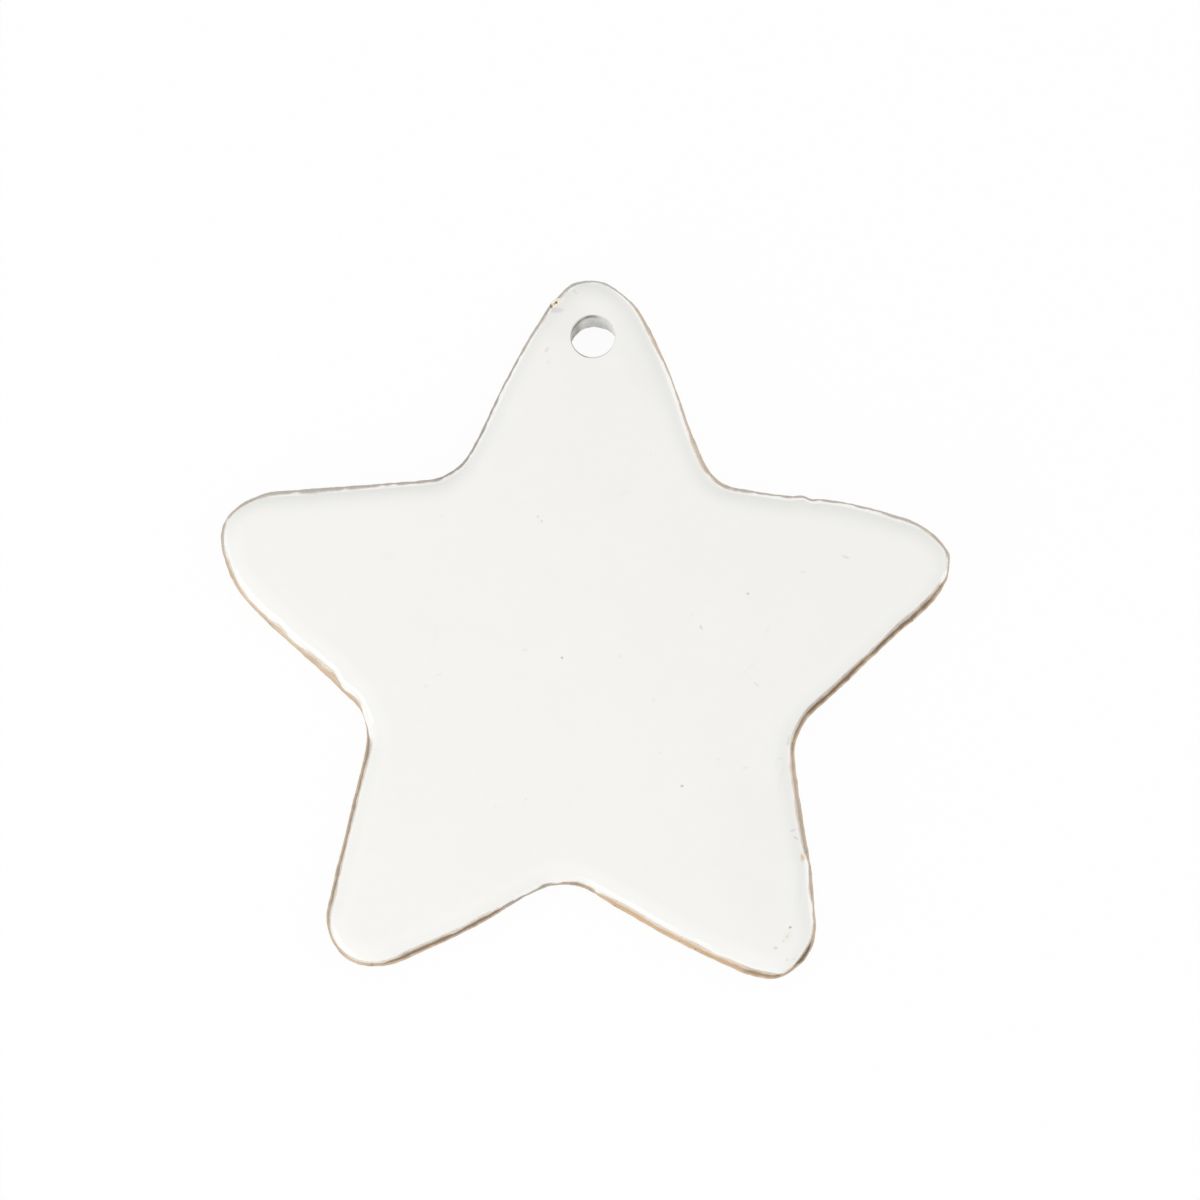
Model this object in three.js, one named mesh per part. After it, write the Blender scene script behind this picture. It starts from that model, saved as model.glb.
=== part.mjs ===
// A five-pointed star ornament of fired clay, lying on its flat back: a buff clay body, and a coat
// of white glaze that covers its front and its rounded edge and lines its hanging hole.
// Millimetres, +Z up. The origin is the star's centre on the flat back, and the hole is towards +Y.

import * as THREE from "three";

// The star's outline, measured at the outer edge of the bare clay foot
const armCount = 5;
const armReach = 41.8; // centre to a rounded tip
const notchReach = 25.2; // centre to the bottom of a notch
const tipRadius = 6.1;
const notchRadius = 4.9;

// The section through the edge
const thickness = 6; // flat back to glazed front
const glazeThickness = 0.5;
const glazeGap = 0.05; // clearance that keeps the glaze and the clay two solids
const footLip = 0.5; // upright outermost edge of the bare foot
const footHeight = 1.2; // where the glaze starts
const footFlare = 0.45; // how far the bare foot stands out past the glaze
const footRound = 0.2; // softened lower corner
const shoulderWidth = 2; // rounded shoulder, across
const shoulderHeight = 4.3; // rounded shoulder, down from the front

// The hanging hole
const holeRadius = 2.45; // clear radius inside the glaze
const holeFromTip = 7.1; // its centre, in from the top arm's tip
const rimRadius = 0.85; // rounding of the glazed rim
const liningStop = 0.6; // the glaze in the hole ends this far above the back

// Fineness of the round stretches
const tipSteps = 9;
const notchSteps = 7;
const shoulderSteps = 6;
const rimSteps = 3;
const footSteps = 2;
const holeSteps = 28;

const clayInset = glazeThickness + glazeGap;
const fullTurn = 2 * Math.PI;
const quarterTurn = Math.PI / 2;
const holeCentre = new THREE.Vector2(0, armReach - holeFromTip);

function polar(radius, angle) {
  return new THREE.Vector2(radius * Math.cos(angle), radius * Math.sin(angle));
}

// Points of one round stretch, swept to both sides of its middle direction, each with the
// direction that points out of the clay. A tip's stretch bulges out. A notch's is hollow, so its
// outward directions meet at its centre.
function roundStretch({ centre, radius, middle, sweep, steps, hollow }) {
  const stretch = [];
  for (let i = 0; i <= steps; i++) {
    const outward = polar(1, middle - sweep + (2 * sweep * i) / steps);
    const reach = hollow ? -radius : radius;
    stretch.push({ at: centre.clone().addScaledVector(outward, reach), outward });
  }
  return stretch;
}

// The outline, anticlockwise from the top arm. Each straight side touches the round of a tip and
// the round of the notch beside it, so its outward direction leans from the line between their
// two centres by an angle whose cosine is the sum of the two radii over the centres' distance.
function starOutline() {
  const outline = [];
  const halfPitch = fullTurn / armCount / 2;
  for (let arm = 0; arm < armCount; arm++) {
    const armAngle = quarterTurn + 2 * halfPitch * arm;
    const notchAngle = armAngle + halfPitch;
    const tipCentre = polar(armReach - tipRadius, armAngle);
    const notchCentre = polar(notchReach + notchRadius, notchAngle);
    const between = notchCentre.clone().sub(tipCentre);
    const lean = Math.acos((tipRadius + notchRadius) / between.length());
    const sideAngle = Math.atan2(between.y, between.x) - lean;
    let tipSweep = sideAngle - armAngle;
    tipSweep = Math.atan2(Math.sin(tipSweep), Math.cos(tipSweep));
    const notchSweep = halfPitch - tipSweep;
    const tip = {
      centre: tipCentre,
      radius: tipRadius,
      middle: armAngle,
      sweep: tipSweep,
      steps: tipSteps,
      hollow: false,
    };
    const notch = {
      centre: notchCentre,
      radius: notchRadius,
      middle: notchAngle,
      sweep: notchSweep,
      steps: notchSteps,
      hollow: true,
    };
    outline.push(...roundStretch(tip), ...roundStretch(notch));
  }
  return outline;
}

const outline = starOutline();

// A closed skin built from level rings of points that all run anticlockwise seen from above
class Skin {
  constructor() {
    this.corners = [];
    this.faces = [];
  }

  // The outline, drawn in by a distance, at one height
  starRing({ inset, z }) {
    return this.ring(outline.map(({ at, outward }) => at.clone().addScaledVector(outward, -inset)), z);
  }

  holeRing({ radius, z }) {
    const points = [];
    for (let i = 0; i < holeSteps; i++) {
      points.push(polar(radius, (fullTurn * i) / holeSteps).add(holeCentre));
    }
    return this.ring(points, z);
  }

  ring(points, z) {
    const first = this.corners.length;
    points.forEach(({ x, y }) => this.corners.push(new THREE.Vector3(x, y, z)));
    return { points, indices: points.map((_, i) => first + i) };
  }

  // Walls between neighbouring rings with the same number of points
  walls(rings) {
    for (let r = 0; r + 1 < rings.length; r++) {
      const from = rings[r].indices;
      const to = rings[r + 1].indices;
      for (let i = 0; i < from.length; i++) {
        const next = (i + 1) % from.length;
        this.faces.push(from[i], from[next], to[next]);
        this.faces.push(from[i], to[next], to[i]);
      }
    }
  }

  // A level face between a ring of the star and a ring of the hole, facing up or down
  levelFace(starRing, holeRing, facingUp) {
    const indices = [...starRing.indices, ...holeRing.indices];
    for (const triangle of THREE.ShapeUtils.triangulateShape(starRing.points, [holeRing.points])) {
      const [a, b, c] = triangle.map((i) => indices[i]);
      const anticlockwise = THREE.ShapeUtils.area([a, b, c].map((i) => this.corners[i])) > 0;
      this.faces.push(...(anticlockwise === facingUp ? [a, b, c] : [a, c, b]));
    }
  }

  geometry() {
    const geometry = new THREE.BufferGeometry().setFromPoints(this.corners);
    geometry.setIndex(this.faces);
    geometry.computeVertexNormals();
    return geometry;
  }
}

// The rounded shoulder, from the top of the upright edge to the level front, for the surface
// that lies a given depth under the glaze's outer face
function shoulder(depth) {
  const profile = [];
  for (let i = 0; i <= shoulderSteps; i++) {
    const angle = (quarterTurn * i) / shoulderSteps;
    profile.push({
      inset: footFlare + shoulderWidth - (shoulderWidth - depth) * Math.cos(angle),
      z: thickness - shoulderHeight + (shoulderHeight - depth) * Math.sin(angle),
    });
  }
  return profile;
}

// The hole's rounded rim, from the level front down into the hole, for the surface that lies a
// given depth under the glaze's outer face
function rim(depth) {
  const profile = [];
  for (let i = 0; i <= rimSteps; i++) {
    const angle = (quarterTurn * i) / rimSteps;
    profile.push({
      radius: holeRadius + rimRadius - (rimRadius - depth) * Math.sin(angle),
      z: thickness - rimRadius + (rimRadius - depth) * Math.cos(angle),
    });
  }
  return profile;
}

function clayGeometry() {
  const skin = new Skin();
  const foot = [];
  for (let i = 0; i <= footSteps; i++) {
    const angle = (quarterTurn * i) / footSteps;
    foot.push({ inset: footRound * (1 - Math.sin(angle)), z: footRound * (1 - Math.cos(angle)) });
  }
  foot.push({ inset: 0, z: footLip });
  foot.push({ inset: footFlare, z: footHeight });
  foot.push({ inset: footFlare + clayInset, z: footHeight });
  const edge = [...foot, ...shoulder(clayInset)].map((at) => skin.starRing(at));
  const bore = rim(clayInset);
  bore.push({ radius: holeRadius + clayInset, z: 0 });
  const hole = bore.map((at) => skin.holeRing(at));
  skin.walls(edge);
  skin.levelFace(edge.at(-1), hole[0], true);
  skin.walls(hole);
  skin.levelFace(edge[0], hole.at(-1), false);
  return skin.geometry();
}

function glazeGeometry() {
  const skin = new Skin();
  const seat = footHeight + glazeGap;
  const outerEdge = [{ inset: footFlare, z: seat }, ...shoulder(0)].map((at) => skin.starRing(at));
  const innerEdge = [{ inset: footFlare + glazeThickness, z: seat }, ...shoulder(glazeThickness)]
    .map((at) => skin.starRing(at));
  const outerHole = [...rim(0), { radius: holeRadius, z: liningStop }].map((at) => skin.holeRing(at));
  const innerHole = [...rim(glazeThickness), { radius: holeRadius + glazeThickness, z: liningStop }]
    .map((at) => skin.holeRing(at));
  innerEdge.reverse();
  innerHole.reverse();
  skin.walls(outerEdge);
  skin.levelFace(outerEdge.at(-1), outerHole[0], true);
  skin.walls([...outerHole, ...innerHole]);
  skin.levelFace(innerEdge[0], innerHole.at(-1), false);
  skin.walls([...innerEdge, outerEdge[0]]);
  return skin.geometry();
}

const bareClay = new THREE.MeshStandardMaterial({ color: 0xc8ab86, roughness: 0.9, metalness: 0 });
const whiteGlaze = new THREE.MeshStandardMaterial({ color: 0xf2f1ed, roughness: 0.15, metalness: 0 });

function clayBody() {
  const mesh = new THREE.Mesh(clayGeometry(), bareClay);
  mesh.name = "clay_body";
  return mesh;
}

function glazeCoat() {
  const mesh = new THREE.Mesh(glazeGeometry(), whiteGlaze);
  mesh.name = "glaze_coat";
  return mesh;
}

const star = new THREE.Group();
star.add(clayBody(), glazeCoat());

export default star;
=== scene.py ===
# %% [markdown]
# A glazed clay star
#
# The object is a flat star, about 80 mm across, cut from a slab of buff clay. It was fired, dipped
# in white glaze and fired again, lying on its bare back. Two materials show: a glossy white coat
# over the front and the rounded edge, and the bare clay foot that stands out under it as a thin
# tan line. They are modelled as two pieces, because that is what they are. The star lies on its
# back with the hanging hole towards +Y, and Blender works in metres.

# %% Load the frame
import math

import bmesh
import bpy
from mathutils import Matrix, Vector


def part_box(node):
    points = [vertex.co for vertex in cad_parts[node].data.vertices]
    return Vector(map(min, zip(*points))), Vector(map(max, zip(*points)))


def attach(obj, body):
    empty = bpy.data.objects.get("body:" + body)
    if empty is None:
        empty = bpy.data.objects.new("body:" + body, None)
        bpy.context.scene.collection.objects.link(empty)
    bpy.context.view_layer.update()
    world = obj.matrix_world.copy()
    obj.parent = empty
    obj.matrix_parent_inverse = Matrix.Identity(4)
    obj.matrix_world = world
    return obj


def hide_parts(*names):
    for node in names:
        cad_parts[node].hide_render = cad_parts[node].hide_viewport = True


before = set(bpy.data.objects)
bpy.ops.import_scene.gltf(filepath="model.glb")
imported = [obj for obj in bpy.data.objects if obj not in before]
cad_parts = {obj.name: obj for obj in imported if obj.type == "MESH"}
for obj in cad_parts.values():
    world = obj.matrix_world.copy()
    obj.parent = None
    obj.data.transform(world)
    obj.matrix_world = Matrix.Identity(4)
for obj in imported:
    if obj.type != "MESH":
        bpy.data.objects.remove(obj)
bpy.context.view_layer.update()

clay_low, clay_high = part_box("clay_body")
glaze_low, glaze_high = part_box("glaze_coat")
for name, low, high in (("clay", clay_low, clay_high), ("glaze", glaze_low, glaze_high)):
    print(name, "from", round(1000 * low.z, 2), "to", round(1000 * high.z, 2), "mm above the back")

# %% [markdown]
# Sizes
#
# The star was made with a cutter, so it is nearly even, but hands lifted and turned it while it
# was wet. Each arm and each notch therefore has its own reach from the star's centre, lean and
# radius. They run clockwise from the top arm, and a positive lean turns an arm anticlockwise. The
# soft slab also sagged to one side, so everything over the foot slants. Lengths are written in
# millimetres, and mm makes them metres.

# %% Sizes of the star
mm = 0.001

# Reach, lean in degrees, and radius
arms = [
    (41.95, -0.2, 6.15),
    (41.75, 0.1, 5.75),
    (41.35, -0.3, 5.95),
    (41.65, 0.2, 5.75),
    (41.65, 0.1, 6.55),
]
notches = [
    (24.95, 0.3, 4.95),
    (25.15, -0.3, 5.25),
    (25.15, -1.9, 4.25),
    (24.75, 1.0, 5.75),
    (25.05, 0.4, 5.65),
]
pitch = math.radians(360 / len(arms))

thickness = glaze_high.z
glaze_thickness = 0.45 * mm
glaze_edge = 0.45 * mm  # how far inside the foot's outer edge the glaze ends
glaze_seat = 1.2 * mm  # how far above the back it ends
wall_lean = 0.46 * mm  # how far the side leans in, up to the shoulder
wall_top = 5.0 * mm
shoulder_width = 2.3 * mm
askew = Vector((0, -0.15, 0))  # how far everything over the foot slants, per height
clay_depth = 0.6 * mm  # how deep the clay lies under the glaze's face
foot_round = 0.2 * mm
foot_lip = 0.35 * mm

hole_centre = Vector((0.2 * mm, 34.65 * mm, 0))
hole_slant = Vector((0.28 * mm, -0.45 * mm, 0))  # how far the hole drifts on its way to the back
hole_radius = 2.32 * mm
hole_widening = 0.35 * mm  # how much wider it is at the back
rim_radius = 0.15 * mm
lining_stop = 0.6 * mm

point_spacing = 0.3 * mm
straight_from = 5 * point_spacing  # an edge longer than this is a straight side
hole_points = 96
hair = 0.01 * mm  # places closer than this count as the same
nearly_level = 0.9  # how straight up or down a face points, at least
dead_level = 0.999
print("front", round(1000 * thickness, 2), "mm above the back")

# %% [markdown]
# The camera
#
# The photograph looks down on the star from a little below its lower tips, through a long lens,
# so the foot shows more along the lower edges than along the upper ones. The camera is placed by
# that tilt and by the spot of the star that lies in the middle of the picture. A small roll turns
# the star clockwise, as it lies in the photograph.

# %% Camera
picture_centre = Vector((1.931 * mm, 6.384 * mm, 0))
picture_width = 131.87 * mm
camera_tilt = math.radians(9.5)
camera_roll = math.radians(1.85)

camera_data = bpy.data.cameras.new("camera")
camera_data.lens = 150
camera_data.sensor_width = 36
camera = bpy.data.objects.new("camera", camera_data)
bpy.context.scene.collection.objects.link(camera)
camera_distance = picture_width * camera_data.lens / camera_data.sensor_width
turned = Matrix.Rotation(camera_tilt, 4, "X") @ Matrix.Rotation(camera_roll, 4, "Z")
backed_off = Matrix.Translation((0, 0, camera_distance))
camera.matrix_world = Matrix.Translation(picture_centre) @ turned @ backed_off
bpy.context.scene.camera = camera
print("camera", round(camera_distance, 3), "m from the star")


# %% [markdown]
# Ways of working
#
# Blender's operators act on what is selected, so each step first lets go of everything and then
# picks what it needs by its place. These short helpers do that, and the moves that come up often.


# %% Helpers for selecting and moving
def let_go():
    if bpy.context.object and bpy.context.object.mode != "OBJECT":
        bpy.ops.object.mode_set(mode="OBJECT")
    bpy.ops.object.select_all(action="DESELECT")


def take(piece):
    let_go()
    piece.select_set(True)
    bpy.context.view_layer.objects.active = piece


def edit(piece):
    take(piece)
    bpy.ops.object.mode_set(mode="EDIT")


def unpicked(piece):
    """The piece's mesh in edit mode, with nothing selected."""
    shape = bmesh.from_edit_mesh(piece.data)
    for part in (*shape.verts, *shape.edges, *shape.faces):
        part.select = False
    return shape


def pick_points(piece, wanted):
    """In edit mode, selects the points that are wanted, and what lies wholly between them."""
    shape = unpicked(piece)
    shape.select_mode = {"VERT"}
    for point in shape.verts:
        point.select = wanted(point)
    shape.select_flush_mode()
    bmesh.update_edit_mesh(piece.data)


def pick_faces(piece, wanted):
    """In edit mode, selects the faces that are wanted."""
    shape = unpicked(piece)
    for face in shape.faces:
        if wanted(face):
            face.select = True
    bmesh.update_edit_mesh(piece.data)


def extrude(shift):
    """Draws the selection out by a shift and leaves its new end selected."""
    bpy.ops.mesh.extrude_region_move(TRANSFORM_OT_translate={"value": shift})


def drag(shift, reach):
    """Moves the selection, and what lies round it less and less, up to the reach."""
    bpy.ops.transform.translate(
        value=shift,
        use_proportional_edit=True,
        proportional_edit_falloff="SMOOTH",
        proportional_size=reach,
    )


def close_up():
    """Turns every face outward and leaves edit mode."""
    bpy.ops.mesh.select_all(action="SELECT")
    bpy.ops.mesh.normals_make_consistent(inside=False)
    bpy.ops.object.mode_set(mode="OBJECT")


def modify(piece, kind, **settings):
    """Gives a piece a modifier with its settings and applies it."""
    take(piece)
    change = piece.modifiers.new(kind, kind)
    for setting, value in settings.items():
        setattr(change, setting, value)
    bpy.ops.object.modifier_apply(modifier=change.name)


let_go()
print("helpers ready")

# %% [markdown]
# The outline
#
# A rounded star is ten arcs and ten straight sides. Here one point walks round the star, as a pair
# of compasses would, so that the rounds come out true: it swings about a tip's centre, runs
# straight, swings back about the notch's centre, and runs straight again. A side touches both
# rounds, and that gives the angle at which each swing stops.


# %% Places of the rounds
def towards(angle, distance):
    return Vector((math.cos(angle), math.sin(angle), 0)) * distance


def side_angle(tip, notch, hand):
    """The direction out of the clay along the straight side between a tip and a notch."""
    between = notch["centre"] - tip["centre"]
    lean = math.acos((tip["radius"] + notch["radius"]) / between.length)
    return math.atan2(between.y, between.x) + hand * lean


def unwound(angle, near):
    """The same direction, as the angle nearest to another one."""
    return near + (angle - near + math.pi) % (2 * math.pi) - math.pi


def rounds(table, start, beyond):
    """The rounds of a table, whose centres lie beyond the reach (1) or inside it (-1)."""
    made = []
    for k, (reach, lean, radius) in enumerate(table):
        radius *= mm
        angle = math.pi / 2 - (k + start) * pitch + math.radians(lean)
        centre = towards(angle, reach * mm + beyond * radius)
        made.append({"centre": centre, "radius": radius, "angle": angle})
    return made


tips = rounds(arms, 0, -1)
hollows = rounds(notches, 0.5, 1)
for k, tip in enumerate(tips):
    tip["from"] = unwound(side_angle(tip, hollows[k - 1], -1), tip["angle"])
    tip["to"] = unwound(side_angle(tip, hollows[k], 1), tip["angle"])
print("tips", len(tips), "and notches", len(hollows))


# %% Draw the outline
def swing(centre, radius, turn):
    """Swings the selected point clockwise by turn, or anticlockwise if turn is negative."""
    steps = max(2, round(abs(turn) * radius / point_spacing))
    bpy.ops.mesh.spin(steps=steps, angle=turn, center=centre, axis=(0, 0, 1))


def run_to(place, piece):
    """Draws a straight side from the selected point to a place, and leaves its end selected."""
    shape = bmesh.from_edit_mesh(piece.data)
    start = next(point for point in shape.verts if point.select).co.copy()
    extrude(place - start)


def star_face(name, drawn_in, height):
    """A level face with the star's outline, drawn in by a distance, at one height."""
    lift = Vector((0, 0, height))
    first = tips[0]
    start = first["centre"] + towards(first["from"], first["radius"] - drawn_in) + lift
    let_go()
    bpy.ops.mesh.primitive_plane_add(size=mm)
    piece = bpy.context.object
    piece.name = name
    edit(piece)
    bpy.ops.mesh.select_all(action="SELECT")
    bpy.ops.mesh.merge(type="CENTER")
    bpy.ops.transform.translate(value=start)
    for k, tip in enumerate(tips):
        hollow = hollows[k]
        following = tips[(k + 1) % len(tips)]
        leaves = unwound(following["from"], tip["to"])
        swing(tip["centre"] + lift, tip["radius"] - drawn_in, tip["from"] - tip["to"])
        run_to(hollow["centre"] - towards(tip["to"], hollow["radius"] + drawn_in) + lift, piece)
        swing(hollow["centre"] + lift, hollow["radius"] + drawn_in, tip["to"] - leaves)
        run_to(following["centre"] + towards(leaves, following["radius"] - drawn_in) + lift, piece)
    bpy.ops.mesh.select_all(action="SELECT")
    bpy.ops.mesh.remove_doubles(threshold=point_spacing / 10)
    bpy.ops.mesh.select_all(action="DESELECT")
    shape = bmesh.from_edit_mesh(piece.data)
    sides = [edge for edge in shape.edges if edge.calc_length() > straight_from]
    for side in sides:
        side.select = True
    length = sum(side.calc_length() for side in sides) / len(sides)
    bmesh.update_edit_mesh(piece.data)
    bpy.ops.mesh.subdivide(number_cuts=round(length / point_spacing))
    bpy.ops.mesh.select_all(action="SELECT")
    bpy.ops.mesh.edge_face_add()
    bpy.ops.mesh.normals_make_consistent(inside=False)
    shape = bmesh.from_edit_mesh(piece.data)
    if shape.faces[:][0].normal.z < 0:
        bpy.ops.mesh.flip_normals()
    print(name, "outline has", len(shape.verts), "points")
    return piece


def climb(profile):
    """Raises the selected face through (inset, height) steps, each a ring of its own."""
    for (inset, height), (next_inset, next_height) in zip(profile, profile[1:]):
        rise = next_height - height
        if next_inset > inset:
            bpy.ops.mesh.inset(thickness=next_inset - inset, depth=rise, use_even_offset=True)
        else:
            extrude((0, 0, rise))
        if height >= glaze_seat:
            bpy.ops.transform.translate(value=askew * rise)


def quarter(steps):
    """The angles of a quarter turn, cut into equal steps."""
    return [math.pi / 2 * i / steps for i in range(steps + 1)]


def section(depth, steps):
    """The (inset, height) steps up the side and over the shoulder, at a depth in the glaze."""
    profile = [(glaze_edge + depth, glaze_seat)]
    level_from = glaze_edge + wall_lean + shoulder_width
    for angle in quarter(steps):
        height = wall_top + (thickness - wall_top - depth) * math.sin(angle)
        profile.append((level_from - (shoulder_width - depth) * math.cos(angle), height))
    return profile


# %% [markdown]
# The clay body
#
# The slab is raised from its outline: up the foot's outer edge, in along the hollow cove to the
# glaze line, and then, under the glaze, up the side and over to the front. The lower corner is
# rounded with a bevel, as a wet sponge does it. The hole is cut with a round cutter that widens a
# little and slants, as a straw does that is wriggled through wet clay.

# %% Clay body
cove_width = glaze_edge + 0.05 * mm  # it goes in just under the glaze
cove_height = glaze_seat - foot_lip
cove = [
    (cove_width * math.sin(angle), glaze_seat - cove_height * math.cos(angle))
    for angle in quarter(5)
]
clay = star_face("clay_star", drawn_in=0, height=0)
climb([(0, 0), *cove, *section(depth=clay_depth, steps=5)])
pick_points(clay, lambda point: point.co.z < hair)
bpy.ops.mesh.bevel(offset=foot_round, segments=3)
close_up()
print("clay slab", len(clay.data.polygons), "faces")

# %% The hole in the clay
let_go()
bpy.ops.mesh.primitive_cone_add(
    vertices=hole_points,
    radius1=hole_radius + clay_depth + hole_widening,
    radius2=hole_radius + clay_depth,
    depth=thickness,
    location=hole_centre + hole_slant / 2 + Vector((0, 0, thickness / 2)),
)
cutter = bpy.context.object
edit(cutter)
for face_up, height in ((1, thickness), (-1, 0)):
    pick_faces(cutter, lambda face: face.normal.z * face_up > nearly_level)
    bpy.ops.transform.translate(value=hole_slant * (0.5 - height / thickness))
    extrude(hole_slant * -face_up + Vector((0, 0, face_up * thickness)))
close_up()
modify(clay, "BOOLEAN", operation="DIFFERENCE", object=cutter)
bpy.data.objects.remove(cutter)
print("clay", len(clay.data.polygons), "faces")

# %% [markdown]
# The glaze coat
#
# Glaze is a skin of even thickness that follows the clay. It is modelled as its outer face alone,
# an open cup turned upside down, and a Solidify modifier then gives it its thickness inwards. Its
# front is cut into millimetre squares with the bisect tool, so that it can swell and sink a little.

# %% Glaze coat: edge, shoulder and front
glaze = star_face("glaze_skin", drawn_in=glaze_edge, height=glaze_seat)
side = section(depth=0, steps=16)
foot, head = side[0], side[1]
for share in (0.75, 0.5, 0.25):
    side.insert(1, tuple(low + (high - low) * share for low, high in zip(foot, head)))
climb(side)
pick_faces(glaze, lambda face: face.normal.z < -nearly_level)
bpy.ops.mesh.delete(type="FACE")

square = 1.0 * mm
star_reach = 42 * mm


def is_front(face):
    return face.normal.z > dead_level and face.calc_center_median().z > thickness - hair


for normal in (Vector((1, 0, 0)), Vector((0, 1, 0))):
    line = -star_reach
    while line < star_reach:
        pick_faces(glaze, is_front)
        bpy.ops.mesh.bisect(plane_co=normal * line, plane_no=normal)
        line += square
print("front has", sum(is_front(f) for f in bmesh.from_edit_mesh(glaze.data).faces), "squares")

# %% Glaze coat: rim and lining of the hole
hole_edge = hole_radius + rim_radius


def by_the_hole(face):
    away = face.calc_center_median() - hole_centre
    return is_front(face) and away.xy.length < hole_edge + square


def open_on_top(point):
    return (point.is_boundary or point.is_wire) and point.co.z > thickness - hair


pick_faces(glaze, by_the_hole)
bpy.ops.mesh.delete(type="FACE")
bpy.ops.mesh.select_all(action="DESELECT")
bpy.ops.mesh.primitive_circle_add(
    vertices=hole_points,
    radius=hole_edge,
    location=hole_centre + Vector((0, 0, thickness)),
)
pick_points(glaze, open_on_top)
bpy.ops.mesh.fill(use_beauty=True)


def on_the_rim(point):
    away = (point.co - hole_centre).xy.length
    return abs(away - hole_edge) < 2 * hair and point.co.z > thickness - 2 * hair


lining = [
    (hole_edge - rim_radius * math.sin(angle), thickness - rim_radius * (1 - math.cos(angle)))
    for angle in quarter(7)
]
lining_height = thickness - rim_radius - lining_stop
for share in (0.75, 0.5, 0.25, 0):
    wider = hole_widening * (1 - share)
    lining.append((hole_radius + wider, lining_stop + lining_height * share))

pick_points(glaze, on_the_rim)
for (radius, height), (next_radius, next_height) in zip(lining, lining[1:]):
    drop = next_height - height
    drift = hole_slant * -drop / thickness
    extrude(drift + Vector((0, 0, drop)))
    narrow = next_radius / radius
    middle = hole_centre + hole_slant * (1 - next_height / thickness)
    bpy.ops.transform.resize(value=(narrow, narrow, 1), center_override=middle)
bpy.ops.mesh.select_all(action="SELECT")
bpy.ops.mesh.remove_doubles(threshold=hair / 2)
close_up()
print("glaze skin", len(glaze.data.polygons), "faces")

# %% [markdown]
# Marks of the hands
#
# A cutter leaves even arms, and this star has none: fingers pressed its corners in, pushed flanks
# out and left a crown on the top arm. Proportional editing does the same as a thumb on wet clay. A
# narrow slice of the edge is moved, and its surroundings follow, less and less up to the reach of
# the mark. Each mark names its place, its outward push and its reach, in millimetres.

# %% Press the star
hand_marks = [
    # Top arm
    ("crown", (-0.5, 42.0), 0.3, 4.5),
    ("left corner", (-5.3, 39.2), -0.22, 4),
    ("right corner", (4.6, 40.3), -0.25, 4.5),
    ("right flank", (8.2, 33.0), 0.27, 8),
    ("left flank", (-8.5, 32.3), 0.1, 8),
    ("foot of the left flank", (-12.5, 24.0), -0.15, 5),
    # Upper right notch
    ("above", (12.0, 24.6), -0.1, 5),
    ("bottom", (15.2, 20.6), -0.1, 3),
    ("below", (18.8, 19.2), -0.1, 5),
    # Right arm
    ("upper flank", (28.0, 18.0), 0.36, 7),
    ("upper corner", (36.8, 16.5), -0.35, 5),
    ("tip", (40.0, 12.3), 0.3, 3.5),
    ("lower flank", (34.5, 3.0), -0.08, 8),
    ("foot of the lower flank", (28.5, -2.8), 0.08, 6),
    ("near the tip", (36.6, 6.0), 0.12, 3),
    # Lower right notch
    ("bottom", (24.4, -7.3), 0.22, 2.5),
    ("below", (23.7, -9.3), 0.08, 3),
    # Right leg
    ("flank", (25.8, -22.3), 0.15, 6),
    ("outer corner", (26.8, -28.5), -0.1, 4),
    ("outside of the toe", (26.0, -31.5), 0.1, 3),
    ("toe", (23.0, -34.3), 0.2, 3.5),
    ("inner corner", (18.7, -34.5), -0.2, 5),
    ("inner flank", (10.4, -30.5), 0.15, 6),
    # Bottom notch
    ("right", (1.8, -26.2), -0.25, 4),
    ("middle", (-0.8, -25.3), 0.09, 3),
    ("left", (-5.0, -27.0), -0.22, 4.5),
    # Left leg
    ("inner flank", (-11.5, -30.4), 0.2, 8),
    ("end of the inner flank", (-16.5, -33.9), -0.02, 4),
    ("inner corner", (-20.5, -34.9), -0.18, 4.5),
    ("toe", (-24.0, -34.2), 0.15, 4),
    ("outside of the toe", (-26.5, -28.0), -0.1, 4),
    ("outer flank", (-25.3, -21.0), -0.12, 12),
    ("top of the outer flank", (-24.0, -12.5), -0.08, 4),
    # Lower left notch
    ("bottom", (-24.0, -7.0), -0.15, 3.5),
    # Left arm
    ("foot of the lower flank", (-27.5, -3.5), -0.08, 4),
    ("lower flank", (-34.0, 2.3), 0.2, 7),
    ("under the tip", (-39.6, 8.4), -0.42, 5),
    ("tip", (-40.6, 12.0), 0.06, 3),
    ("over the tip", (-39.3, 14.0), 0.3, 4.5),
    ("upper corner", (-36.5, 16.8), -0.04, 3.5),
    ("upper flank", (-26.0, 18.4), -0.03, 14),
]
nicks = [
    ("facet of the top arm", (-2.4, 41.6), 0.1, 1.6),
    ("under that facet", (-3.9, 40.6), -0.1, 1.6),
    ("step in the right arm, high side", (23.8, 18.8), 0.2, 1.2),
    ("step in the right arm, low side", (24.9, 18.4), -0.12, 1.0),
    ("right tip, upper corner", (39.9, 12.6), 0.12, 1.2),
    ("right tip, lower corner", (39.9, 9.8), 0.12, 1.1),
]


slice_half_width = 0.2 * mm
slice_outside = 1.5 * mm
slice_inside = 1.3 * mm


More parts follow.
